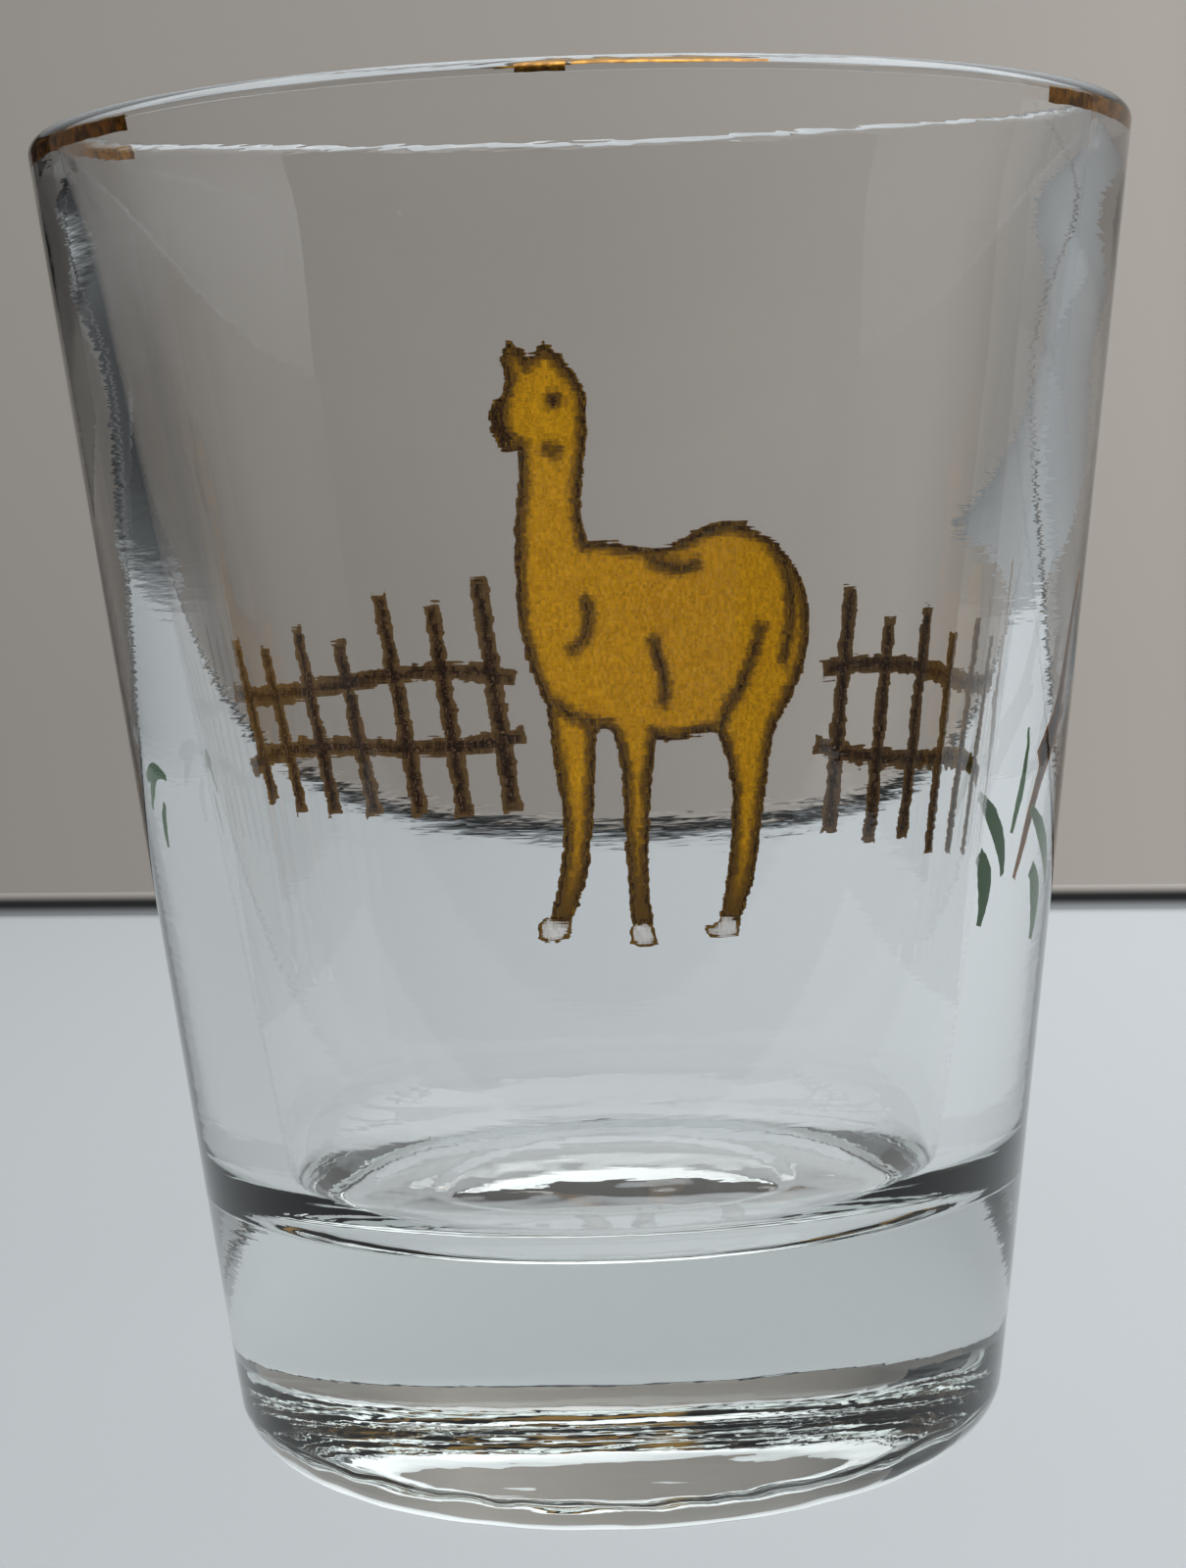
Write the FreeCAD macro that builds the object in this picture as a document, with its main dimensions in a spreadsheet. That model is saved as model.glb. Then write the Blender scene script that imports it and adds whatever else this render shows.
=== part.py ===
"""A souvenir shot glass: a clear tapered tumbler with a thick solid base, a worn gold line round its lip,
and fired enamel artwork (a llama between two stretches of pole fence, a twig and blades of grass).

Millimetres. +Z is up, the axis of the glass is the Z axis and the table is z = 0.
The artwork is drawn flat, as (across, height) in millimetres, and then wrapped round the tapered wall:
across = 0 is the middle of the back (+Y), and across grows towards +X.
"""

import FreeCAD, Part
import Sketcher
import math
import os

SIZES = {
    # the glass, all radii from its axis
    "glass_height": 57.0,
    "base_radius": 16.7,
    "rim_radius": 23.6,
    "mouth_radius": 22.2,
    "flare_height": 50.0,
    "flare_radius": 20.65,
    "floor_height": 11.0,
    "floor_radius": 14.3,
    "heel_round": 2.8,
    "floor_round": 3.5,
    "lip_round": 0.65,
    # the shallow hollow in the underside, and the round mark that the plunger leaves in the cavity floor
    "dish_radius": 11.4,
    "dish_depth": 0.3,
    "mark_radius": 7.8,
    "mark_height": 10.88,
    # fired-on films
    "enamel_thickness": 0.1,
    "gold_thickness": 0.06,
    "art_low": 16.0,
    "art_high": 50.0,
    # the flat artwork keeps its length at this radius of the wall
    "art_radius": 20.5,
    "line_width": 0.36,
    "fine_line_width": 0.28,
    "post_width": 1.15,
    "rail_width": 0.9,
}

# What is left of the gold line: (first angle, sweep, low edge, high edge), first below the lip's rounding
# and then on it. Angles run from +X towards +Y, so the front of the glass is at -90 degrees.
GOLD_ON_WALL = [
    (-40, 36, 55.8, 56.4),
    (158, 65, 55.8, 56.4),
]
GOLD_ON_LIP = [
    (-95.5, 4.5, 56.4, 56.75),
    (-90.5, 17.5, 56.64, 56.73),
]

# The llama's contour, one named line after another, clockwise as seen through the glass from the front.
LLAMA_LINES = {
    "left_ear_front": [(-4.0, 46.7), (-4.1, 47.4), (-3.9, 47.95)],
    "left_ear_back": [(-3.9, 47.95), (-3.5, 47.75), (-3.1, 47.2)],
    "right_ear_front": [(-3.1, 47.2), (-2.65, 47.5), (-2.1, 47.85)],
    "right_ear_back": [(-2.1, 47.85), (-1.6, 47.5), (-1.15, 46.9)],
    "nape": [(-1.15, 46.9), (-0.4, 45.7), (-0.3, 44.2), (-0.5, 42.3), (-0.75, 39.8), (-0.45, 38.1)],
    "back": [
        (-0.45, 38.1), (1.5, 37.95), (2.7, 37.7), (4.9, 38.15), (7.2, 38.85), (9.7, 37.9), (11.4, 36.2),
    ],
    "rump": [(11.4, 36.2), (12.05, 34.5), (12.05, 32.6), (11.3, 30.6), (10.25, 28.9)],
    "rear_leg_back": [(10.25, 28.9), (9.85, 26.8), (9.55, 24.3), (9.25, 22.0), (8.35, 19.5)],
    "rear_ankle": [(8.35, 19.5), (7.35, 19.6)],
    "rear_leg_front": [(7.35, 19.6), (7.75, 21.4), (8, 23.7), (7.85, 26.4), (6.95, 28.6)],
    "belly": [(6.95, 28.6), (6.05, 28.7), (4.35, 28.35), (3.15, 28.5)],
    "middle_leg_back": [(3.15, 28.5), (2.8, 26.5), (2.6, 23.6), (2.5, 21.5), (2.75, 19.3)],
    "middle_ankle": [(2.75, 19.3), (1.75, 19.3)],
    "middle_leg_front": [(1.75, 19.3), (1.65, 21.5), (1.45, 24.5), (1.35, 27.0), (1.05, 28.3)],
    "between_legs": [(1.05, 28.3), (0.45, 29.0), (-0.35, 28.7)],
    "front_leg_back": [(-0.35, 28.7), (-0.55, 26.2), (-0.8, 24.0), (-1.35, 21.3), (-2.25, 19.5)],
    "front_ankle": [(-2.25, 19.5), (-3.25, 19.6)],
    "front_leg_front": [(-3.25, 19.6), (-2.55, 21.5), (-2.15, 23.8), (-2.45, 27.0), (-2.75, 30.1)],
    "chest": [(-2.75, 30.1), (-3.65, 32.3), (-4.1, 35.0), (-3.95, 38.1)],
    "throat": [(-3.95, 38.1), (-3.8, 40.0), (-3.55, 42.0), (-3.65, 43.1)],
    "muzzle": [(-3.65, 43.1), (-4.35, 43.1), (-4.85, 43.8), (-4.8, 45.0), (-4.15, 45.8), (-4.0, 46.7)],
}

# Fine pen lines inside the contour.
LLAMA_SHADING = {
    "shoulder": [(-0.5, 35.2), (-0.45, 34.2), (-0.75, 33.4), (-1.3, 32.9)],
    "brisket": [(-2.4, 30.2), (-1.3, 29.5), (-0.3, 29.2)],
    "flank": [(3.2, 33.1), (3.5, 32.1), (3.75, 31.1), (3.65, 30.2)],
    "haunch": [(9.3, 33.7), (8.85, 32.3), (8.2, 30.9), (7.4, 29.7), (6.95, 28.6)],
    "loin": [(3.2, 37.2), (4.3, 36.85), (5.5, 36.95)],
    "thigh": [(10.4, 37.0), (11.0, 35.6), (11.05, 33.8), (10.8, 32.2)],
}

DARK_MUZZLE = [
    (-4.3, 45.6), (-4.85, 45.0), (-4.95, 44.1), (-4.5, 43.3), (-3.9, 43.2), (-4.15, 43.9), (-4.3, 44.7),
]
EYE = [(-2.0, 45.35), (-1.75, 45.55), (-1.5, 45.35), (-1.75, 45.15)]

# The three hooves that show, left open under the ankles so that the paler enamel fills them.
HOOVES = {
    "front": [
        (-3.35, 19.6), (-4.05, 19.35), (-4.25, 18.8), (-3.65, 18.45),
        (-2.65, 18.5), (-2.1, 18.95), (-2.25, 19.5),
    ],
    "middle": [
        (1.75, 19.3), (1.55, 18.8), (1.5, 18.3), (2.35, 18.15), (3.15, 18.25), (3, 18.8), (2.75, 19.3),
    ],
    "rear": [
        (7.35, 19.6), (6.75, 19.15), (6.15, 18.85), (6.75, 18.5), (7.85, 18.55), (8.55, 19.0), (8.35, 19.5),
    ],
}

# Fence posts: (across at the top, top, across at the bottom, bottom).
POSTS_LEFT = [
    (-24.4, 33.9, -23.4, 27.3),
    (-21.4, 33.4, -20.5, 26.6),
    (-18.3, 34.2, -17.5, 26.2),
    (-15.3, 33.5, -14.4, 25.9),
    (-12.2, 35.6, -11.2, 25.7),
    (-9.1, 35.0, -8.3, 25.4),
    (-6.3, 36.3, -5.3, 25.6),
]
POSTS_RIGHT = [
    (14.9, 35.3, 14.5, 24.4),
    (18.0, 33.7, 17.8, 24.1),
    (21.2, 34.4, 21.0, 24.5),
    (24.3, 33.2, 24.3, 24.0),
    (27.5, 34.0, 27.4, 24.3),
    (30.6, 33.3, 30.7, 24.6),
]
RAILS_LEFT = [
    [(-25.4, 32.0), (-18.2, 31.7), (-11.0, 32.1), (-5.0, 31.7)],
    [(-24.9, 28.6), (-17.2, 28.9), (-10.4, 28.4), (-4.7, 28.7)],
]
RAILS_RIGHT = [
    [(13.7, 31.7), (19.2, 32.0), (26.0, 31.5), (31.8, 31.9)],
    [(13.5, 28.0), (20.0, 27.6), (26.5, 28.0), (31.8, 27.7)],
]

# The twig and the blades of grass: points and the width at each point.
TWIG = [
    ([(33.4, 37.0), (34.1, 34.2), (34.5, 31.3), (35.2, 29.8), (36.2, 28.2), (36.9, 26.5), (37.7, 24.4)],
     [0.45, 0.65, 1.0, 1.7, 1.0, 0.8, 0.4]),
    ([(33.6, 31.2), (34.9, 30.6), (36.3, 29.6)], [0.7, 1.4, 0.9]),
]
GRASS_RIGHT = [
    ([(42.5, 28.0), (41.3, 27.2), (40.2, 26.2), (39.3, 24.7)], [0.4, 0.9, 0.9, 0.4]),
    ([(41.7, 25.3), (41.1, 24.5), (40.9, 23.7), (41.0, 22.7)], [0.8, 1.3, 1.1, 0.5]),
    ([(43.7, 31.4), (43.7, 30.0), (43.95, 28.9), (44.45, 27.4)], [0.2, 0.4, 0.5, 0.3]),
]
GRASS_LEFT = [
    ([(-34.4, 29.7), (-35.8, 30.0), (-37.1, 29.8)], [0.5, 0.8, 0.3]),
    ([(-35.4, 29.7), (-34.7, 29.1), (-34.1, 28.4)], [0.6, 0.6, 0.3]),
    ([(-36.2, 28.5), (-35.7, 27.8), (-35.5, 26.8)], [0.35, 0.65, 0.35]),
]

# The flat artwork stands this far from the axis, and is pushed this far out through the wall.
STENCIL_START = 8.0
STENCIL_REACH = 22.0
STROKE_SAMPLES = 5
HOOF_FILL = 0.78


def make_sheet(doc):
    """The driving sizes, one per row: the name in column A and the value in column B, under that name."""
    sheet = doc.addObject("Spreadsheet::Sheet", "Sizes")
    for row, (name, value) in enumerate(SIZES.items(), start=1):
        sheet.set(f"A{row}", name)
        sheet.set(f"B{row}", str(value))
        sheet.setAlias(f"B{row}", name)
    doc.recompute()
    return sheet


# ---- the glass ----


def origin_plane(body, role):
    return next(feature for feature in body.Origin.OriginFeatures if feature.Role == role)


def section_sketch(body, name):
    """A sketch in the plane of the glass's axis: across is the radius and up is the height."""
    sketch = body.newObject("Sketcher::SketchObject", name)
    sketch.AttachmentSupport = [(origin_plane(body, "XZ_Plane"), "")]
    sketch.MapMode = "FlatFace"
    return sketch


def hold_point(sketch, line, end, radius_name, height_name):
    """Ties one end of a line to the sheet. A name of None keeps that end on the axis or on the table."""
    origin, horizontal_axis, vertical_axis = (-1, 1), -1, -2
    if radius_name is None:
        sketch.addConstraint(Sketcher.Constraint("PointOnObject", line, end, vertical_axis))
    else:
        index = sketch.addConstraint(
            Sketcher.Constraint("DistanceX", *origin, line, end, SIZES[radius_name])
        )
        sketch.setExpression(f"Constraints[{index}]", f"Sizes.{radius_name}")
    if height_name is None:
        sketch.addConstraint(Sketcher.Constraint("PointOnObject", line, end, horizontal_axis))
    else:
        index = sketch.addConstraint(
            Sketcher.Constraint("DistanceY", *origin, line, end, SIZES[height_name])
        )
        sketch.setExpression(f"Constraints[{index}]", f"Sizes.{height_name}")


def tangent_arc(start, end, beyond):
    """The arc from start to end that runs on smoothly into the line from end to beyond."""
    along = (beyond - end).normalize()
    normal = FreeCAD.Vector(-along.y, along.x, 0)
    chord = start - end
    reach = chord.Length**2 / (2 * chord.dot(normal))
    centre = end + normal * reach
    circle = Part.Circle(centre, FreeCAD.Vector(0, 0, 1), abs(reach))
    from_centre = [point - centre for point in (start, end)]
    return Part.ArcOfCircle(circle, *(math.atan2(arm.y, arm.x) for arm in from_centre))


def section_outline(body, name, corners, curved_side=None):
    """A closed outline whose corners are (name of a radius, name of a height).

    curved_side is the number of a side that bends to meet the next side smoothly.
    """
    sketch = section_sketch(body, name)
    points = [FreeCAD.Vector(SIZES.get(r, 0.0), SIZES.get(z, 0.0), 0) for r, z in corners]
    count = len(points)
    for i in range(count):
        start, end, beyond = (points[(i + step) % count] for step in range(3))
        side = tangent_arc(start, end, beyond) if i == curved_side else Part.LineSegment(start, end)
        sketch.addGeometry(side, False)
    for i in range(count):
        joint = "Tangent" if i == curved_side else "Coincident"
        sketch.addConstraint(Sketcher.Constraint(joint, i, 2, (i + 1) % count, 1))
    for i, (radius_name, height_name) in enumerate(corners):
        hold_point(sketch, i, 1, radius_name, height_name)
    return sketch


def dish_sketch(body, name):
    """The section of the hollow underside: two straight sides and a shallow arc centred on the axis."""
    sketch = section_sketch(body, name)
    radius, depth = SIZES["dish_radius"], SIZES["dish_depth"]
    ball = (radius**2 + depth**2) / (2 * depth)
    centre = FreeCAD.Vector(0, depth - ball, 0)
    axis_point = FreeCAD.Vector(0, 0, 0)
    edge_point = FreeCAD.Vector(radius, 0, 0)
    top_point = FreeCAD.Vector(0, depth, 0)
    circle = Part.Circle(centre, FreeCAD.Vector(0, 0, 1), ball)
    start_angle = math.atan2(-centre.y, radius)
    sketch.addGeometry(Part.LineSegment(axis_point, edge_point), False)
    sketch.addGeometry(Part.ArcOfCircle(circle, start_angle, math.pi / 2), False)
    sketch.addGeometry(Part.LineSegment(top_point, axis_point), False)
    for line, end, other, other_end in ((0, 2, 1, 1), (1, 2, 2, 1), (2, 2, 0, 1)):
        sketch.addConstraint(Sketcher.Constraint("Coincident", line, end, other, other_end))
    arc_centre, vertical_axis = 3, -2
    sketch.addConstraint(Sketcher.Constraint("PointOnObject", 1, arc_centre, vertical_axis))
    hold_point(sketch, 0, 1, None, None)
    hold_point(sketch, 0, 2, "dish_radius", None)
    hold_point(sketch, 2, 1, None, "dish_depth")
    return sketch


def turn(body, kind, name, sketch):
    """Revolves or grooves a sketch a full turn about the axis of the glass."""
    feature = body.newObject(f"PartDesign::{kind}", name)
    feature.Profile = sketch
    feature.ReferenceAxis = (sketch, ["V_Axis"])
    feature.Angle = 360
    body.Document.recompute()
    return feature


def ring_edges(shape, radius, height):
    """The names of the circular edges with this radius at this height."""
    names = []
    for number, edge in enumerate(shape.Edges, start=1):
        curve = edge.Curve
        if isinstance(curve, Part.Circle):
            near_radius = abs(curve.Radius - radius) < 0.01
            near_height = abs(curve.Center.z - height) < 0.01
            if near_radius and near_height:
                names.append(f"Edge{number}")
    return names


def round_ring(body, name, base, radius_name, height_name, round_name):
    """Rounds one ring of the glass, found by the names of its radius and height."""
    edges = ring_edges(base.Shape, SIZES[radius_name], SIZES.get(height_name, 0.0))
    if not edges:
        raise RuntimeError(f"{name}: the glass has no edge there")
    fillet = body.newObject("PartDesign::Fillet", name)
    fillet.Base = (base, edges)
    fillet.setExpression("Radius", f"Sizes.{round_name}")
    body.Document.recompute()
    return fillet


def build_glass(doc):
    """The tumbler: one turned section, a hollow underside, a round mark in the floor and rounded rings."""
    body = doc.addObject("PartDesign::Body", "glass_body")
    wall = section_outline(
        body,
        "wall_section",
        [
            (None, None),
            ("base_radius", None),
            ("rim_radius", "glass_height"),
            ("mouth_radius", "glass_height"),
            ("flare_radius", "flare_height"),
            ("floor_radius", "floor_height"),
            (None, "floor_height"),
        ],
        curved_side=3,
    )
    feature = turn(body, "Revolution", "tumbler", wall)
    for name, radius_name, height_name, round_name in (
        ("round_heel", "base_radius", None, "heel_round"),
        ("round_floor_corner", "floor_radius", "floor_height", "floor_round"),
        ("round_lip_outside", "rim_radius", "glass_height", "lip_round"),
        ("round_lip_inside", "mouth_radius", "glass_height", "lip_round"),
    ):
        feature = round_ring(body, name, feature, radius_name, height_name, round_name)
    before = feature.Shape.Volume
    feature = turn(body, "Groove", "hollow_underside", dish_sketch(body, "dish_section"))
    after_dish = feature.Shape.Volume
    mark = section_outline(
        body,
        "mark_section",
        [
            (None, "mark_height"),
            ("mark_radius", "mark_height"),
            ("mark_radius", "floor_height"),
            (None, "floor_height"),
        ],
    )
    feature = turn(body, "Groove", "plunger_mark", mark)
    after_mark = feature.Shape.Volume
    if not before > after_dish > after_mark:
        raise RuntimeError("a groove in the glass cut nothing")
    body.Tip = feature
    return body


# ---- skins that hug the outside of the wall ----


WALL_SLOPE = "(Sizes.rim_radius - Sizes.base_radius) / Sizes.glass_height"


def wall_radius(height):
    rise = (SIZES["rim_radius"] - SIZES["base_radius"]) / SIZES["glass_height"]
    return SIZES["base_radius"] + rise * height


def radius_expression(height, thickness_name=None):
    """The outer wall's radius at a height, as an expression, with a film's thickness added if named."""
    text = f"Sizes.base_radius + {WALL_SLOPE} * ({height})"
    return text if thickness_name is None else f"{text} + Sizes.{thickness_name}"


def make_skin(doc, name, low, high, thickness_name, first_angle=0.0, sweep=360.0):
    """A thin conical skin on the outer wall between two heights. low and high are expressions."""
    cones = []
    for part, film in (("outside", thickness_name), ("inside", None)):
        cone = doc.addObject("Part::Cone", f"{name}_{part}")
        cone.setExpression("Radius1", radius_expression(low, film))
        cone.setExpression("Radius2", radius_expression(high, film))
        cone.setExpression("Height", f"{high} - {low}")
        cone.setExpression("Placement.Base.z", low)
        cone.Placement.Rotation = FreeCAD.Rotation(FreeCAD.Vector(0, 0, 1), first_angle)
        cone.Angle = sweep
        cones.append(cone)
    skin = doc.addObject("Part::Cut", name)
    skin.Base, skin.Tool = cones
    doc.recompute()
    return skin


def make_lip_skin(doc, name, low, high, first_angle, sweep):
    """A thin skin of gold on the outer rounding of the lip, between two heights."""
    crown_height = "Sizes.glass_height - Sizes.lip_round"
    inset = f"Sizes.lip_round * sqrt(1 + ({WALL_SLOPE}) ^ 2)"
    crown_radius = f"{radius_expression(crown_height)} - {inset}"
    turned = FreeCAD.Rotation(FreeCAD.Vector(0, 0, 1), first_angle)
    rings = []
    for part, film in (("outside", " + Sizes.gold_thickness"), ("inside", "")):
        ring = doc.addObject("Part::Torus", f"{name}_{part}")
        ring.setExpression("Radius1", crown_radius)
        ring.setExpression("Radius2", f"Sizes.lip_round{film}")
        ring.setExpression("Placement.Base.z", crown_height)
        ring.Placement.Rotation = turned
        ring.Angle3 = sweep
        rings.append(ring)
    skin = doc.addObject("Part::Cut", f"{name}_skin")
    skin.Base, skin.Tool = rings
    slabs = []
    for part, radius in (("slab", "Sizes.rim_radius + Sizes.lip_round"), ("slab_core", crown_radius)):
        slab = doc.addObject("Part::Cylinder", f"{name}_{part}")
        slab.setExpression("Radius", radius)
        slab.Height = high - low
        slab.Placement = FreeCAD.Placement(FreeCAD.Vector(0, 0, low), FreeCAD.Rotation())
        slabs.append(slab)
    edge_slab = doc.addObject("Part::Cut", f"{name}_edge_slab")
    edge_slab.Base, edge_slab.Tool = slabs
    band = doc.addObject("Part::Common", name)
    band.Base, band.Tool = skin, edge_slab
    doc.recompute()
    return band


def build_gold_line(doc):
    """What is left of the gold line on the lip: one thin band for each unworn stretch."""
    bands = [
        make_skin(doc, f"gold_band_{number}", str(low), str(high), "gold_thickness", first, sweep)
        for number, (first, sweep, low, high) in enumerate(GOLD_ON_WALL, start=1)
    ]
    bands += [
        make_lip_skin(doc, f"gold_trace_{number}", low, high, first, sweep)
        for number, (first, sweep, low, high) in enumerate(GOLD_ON_LIP, start=1)
    ]
    line = doc.addObject("Part::Compound", "gold_rim_line")
    line.Links = bands
    return line


# ---- flat artwork ----


class Stencil:
    """Lays the flat artwork on an upright plane that faces the wall at one place round the glass."""

    def __init__(self, middle):
        """middle is the place across the artwork that the plane faces."""
        self.facing = middle / SIZES["art_radius"]
        self.outward = FreeCAD.Vector(math.sin(self.facing), math.cos(self.facing), 0)
        self.sideways = FreeCAD.Vector(math.cos(self.facing), -math.sin(self.facing), 0)

    def place(self, across, height):
        """The point of the plane that lies in front of a point of the wrapped artwork."""
        angle = across / SIZES["art_radius"] - self.facing
        point = self.outward * STENCIL_START + self.sideways * (wall_radius(height) * math.sin(angle))
        return point + FreeCAD.Vector(0, 0, height)

    def edge(self, points):
        """A straight edge through two points, or a smooth one through more."""
        placed = [self.place(*point) for point in points]
        if len(placed) == 2:
            return Part.LineSegment(*placed).toShape()
        curve = Part.BSplineCurve()
        curve.interpolate(placed)
        return curve.toShape()

    def raised(self, edges):
        """The prism made by pushing a closed run of edges out through the wall."""
        prism = Part.Face(Part.Wire(edges)).extrude(self.outward * STENCIL_REACH)
        if not prism.isValid():
            raise RuntimeError("a piece of the artwork crosses itself")
        return prism

    def region(self, runs):
        """What lies inside a closed run of lines, each a list of points."""
        return self.raised([self.edge(points) for points in runs])

    def patch(self, points):
        """A smooth closed patch through the points."""
        curve = Part.BSplineCurve()
        curve.interpolate([self.place(*point) for point in points], PeriodicFlag=True)
        return self.raised([curve.toShape()])

    def stroke(self, points, widths):
        """A pen stroke along a smooth line. widths is one width, or one for each point."""
        curve = Part.BSplineCurve()
        curve.interpolate([FreeCAD.Vector(across, height, 0) for across, height in points])
        spans = len(points) - 1
        if isinstance(widths, float):
            widths = [widths] * len(points)
        left, right = [], []
        last = STROKE_SAMPLES * spans
        for i in range(last + 1):
            share = i / STROKE_SAMPLES
            at = curve.FirstParameter + (curve.LastParameter - curve.FirstParameter) * share / spans
            span = min(int(share), spans - 1)
            width = widths[span] + (widths[span + 1] - widths[span]) * (share - span)
            along = curve.tangent(at)[0]
            run_past_end = {0: -width / 2, last: width / 2}.get(i, 0.0)
            centre = curve.value(at) + along * run_past_end
            side = FreeCAD.Vector(-along.y, along.x, 0) * (width / 2)
            left.append((centre.x + side.x, centre.y + side.y))
            right.insert(0, (centre.x - side.x, centre.y - side.y))
        return self.region([left, [left[-1], right[0]], right, [right[-1], left[0]]])


def joined(prisms):
    """One shape from prisms that may cross."""
    return prisms[0].multiFuse(prisms[1:]).removeSplitter()


def shrunk(points, scale):
    """The points drawn in towards their middle."""
    mid_across = sum(across for across, _ in points) / len(points)
    mid_height = sum(height for _, height in points) / len(points)
    return [
        (mid_across + (across - mid_across) * scale, mid_height + (height - mid_height) * scale)
        for across, height in points
    ]


def build_film(doc, name, skin, prism):
    """A film of enamel: the part of the skin that the prism covers."""
    cutter = doc.addObject("Part::Feature", f"{name}_outline")
    cutter.Shape = prism
    film = doc.addObject("Part::Common", name)
    film.Base = skin
    film.Tool = cutter
    return film


def build_llama(doc, skin):
    """The llama: brown pen lines, the ochre coat inside them and the pale hooves."""
    stencil = Stencil(middle=3.6)
    pen, fine_pen = SIZES["line_width"], SIZES["fine_line_width"]
    whole_hooves = joined([stencil.patch(points) for points in HOOVES.values()])
    hoof_fill = joined([stencil.patch(shrunk(points, HOOF_FILL)) for points in HOOVES.values()])
    lines = [stencil.stroke(points, pen) for points in LLAMA_LINES.values()]
    lines += [stencil.stroke(points, fine_pen) for points in LLAMA_SHADING.values()]
    lines += [stencil.patch(DARK_MUZZLE), stencil.patch(EYE), whole_hooves.cut(hoof_fill)]
    pen_work = joined(lines)
    coat = stencil.region(LLAMA_LINES.values()).cut(pen_work)
    hooves = hoof_fill.cut(pen_work)
    return [
        build_film(doc, name, skin, prism)
        for name, prism in (("llama_outline", pen_work), ("llama_coat", coat), ("llama_hooves", hooves))
    ]


def build_fence(doc, name, skin, middle, posts, rails):
    """A plain pole fence: upright posts with two rails across them."""
    stencil = Stencil(middle)
    post, rail = SIZES["post_width"], SIZES["rail_width"]
    posts = [stencil.stroke([(u0, v0), (u1, v1)], [0.8 * post, post]) for u0, v0, u1, v1 in posts]
    rails = [stencil.stroke(points, rail) for points in rails]
    return build_film(doc, name, skin, joined(posts + rails))


def build_strokes(doc, name, skin, middle, strokes):
    stencil = Stencil(middle)
    return build_film(doc, name, skin, joined([stencil.stroke(*stroke) for stroke in strokes]))


def build_artwork(doc):
    skin = make_skin(doc, "enamel_skin", "Sizes.art_low", "Sizes.art_high", "enamel_thickness")
    films = build_llama(doc, skin)
    films.append(build_fence(doc, "fence_left", skin, -15.0, POSTS_LEFT, RAILS_LEFT))
    films.append(build_fence(doc, "fence_right", skin, 22.7, POSTS_RIGHT, RAILS_RIGHT))
    films.append(build_strokes(doc, "twig", skin, 35.5, TWIG))
    films.append(build_strokes(doc, "grass_right", skin, 42.0, GRASS_RIGHT))
    films.append(build_strokes(doc, "grass_left", skin, -35.6, GRASS_LEFT))
    return films


# ---- checks and files ----


def check_document(doc):
    for item in doc.Objects:
        if "Invalid" in item.State or "Error" in item.State:
            raise RuntimeError(f"{item.Label} failed: {item.State}")


def write_parts(pieces):
    os.makedirs("parts", exist_ok=True)
    for piece in pieces:
        shape = piece.Shape
        if shape.isNull() or not shape.isValid() or not shape.Solids:
            raise RuntimeError(f"{piece.Label} has no valid solid")
        shape.exportStep(f"parts/{piece.Label}.step")
        print(f"{piece.Label}: {len(shape.Solids)} solids, {shape.Volume:.3f} mm3")


def main():
    doc = FreeCAD.newDocument("ShotGlass")
    make_sheet(doc)
    pieces = [build_glass(doc), build_gold_line(doc)]
    pieces += build_artwork(doc)
    for piece in pieces:
        piece.Label = piece.Name
    doc.recompute()
    check_document(doc)
    write_parts(pieces)


main()
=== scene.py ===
"""The looks of the shot glass: clear glass, worn gold, and fired enamel artwork on the wall."""

import math

import bmesh
import bpy
from mathutils import Matrix, Vector, kdtree, noise


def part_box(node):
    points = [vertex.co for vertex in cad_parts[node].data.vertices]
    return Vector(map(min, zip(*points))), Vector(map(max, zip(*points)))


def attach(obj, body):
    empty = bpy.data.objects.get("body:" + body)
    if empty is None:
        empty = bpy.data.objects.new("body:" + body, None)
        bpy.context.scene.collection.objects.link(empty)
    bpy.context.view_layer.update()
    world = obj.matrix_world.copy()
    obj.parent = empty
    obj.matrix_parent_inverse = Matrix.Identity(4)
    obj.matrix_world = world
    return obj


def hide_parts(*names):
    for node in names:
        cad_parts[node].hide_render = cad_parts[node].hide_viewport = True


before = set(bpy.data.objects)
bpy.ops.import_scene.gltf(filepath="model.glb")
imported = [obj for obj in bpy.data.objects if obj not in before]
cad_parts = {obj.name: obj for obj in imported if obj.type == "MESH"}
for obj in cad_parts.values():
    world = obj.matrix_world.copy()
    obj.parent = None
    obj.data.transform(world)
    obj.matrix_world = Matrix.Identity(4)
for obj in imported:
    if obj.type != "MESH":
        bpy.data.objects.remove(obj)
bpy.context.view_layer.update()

MM = 0.001
TINY = 1e-6

# ---- sizes of the glass, in millimetres, as in the CAD model ----

_, GLASS_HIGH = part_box("glass_body")
HEIGHT = GLASS_HIGH.z / MM
BASE_RADIUS = 16.7
RIM_RADIUS = 23.6
HEEL_ROUND = 2.8
DISH_RADIUS = 11.4
DISH_DEPTH = 0.3
FLOOR_HEIGHT = 11.0
FLOOR_ROUND = 3.5
MARK_RADIUS = 7.8
MARK_DEPTH = 0.12
MARK_STEP = 0.3
FLOOR_WALL = 3.75
TOP_WALL = 1.8
LIP_THINNING = 0.45
THINNING_REACH = 5.0
LIP_ROUND = 0.65
LEAN = math.atan((RIM_RADIUS - BASE_RADIUS) / HEIGHT)
CROWN_HEIGHT = HEIGHT - LIP_ROUND
CROWN_RADIUS = BASE_RADIUS + math.tan(LEAN) * CROWN_HEIGHT - LIP_ROUND / math.cos(LEAN)

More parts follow.
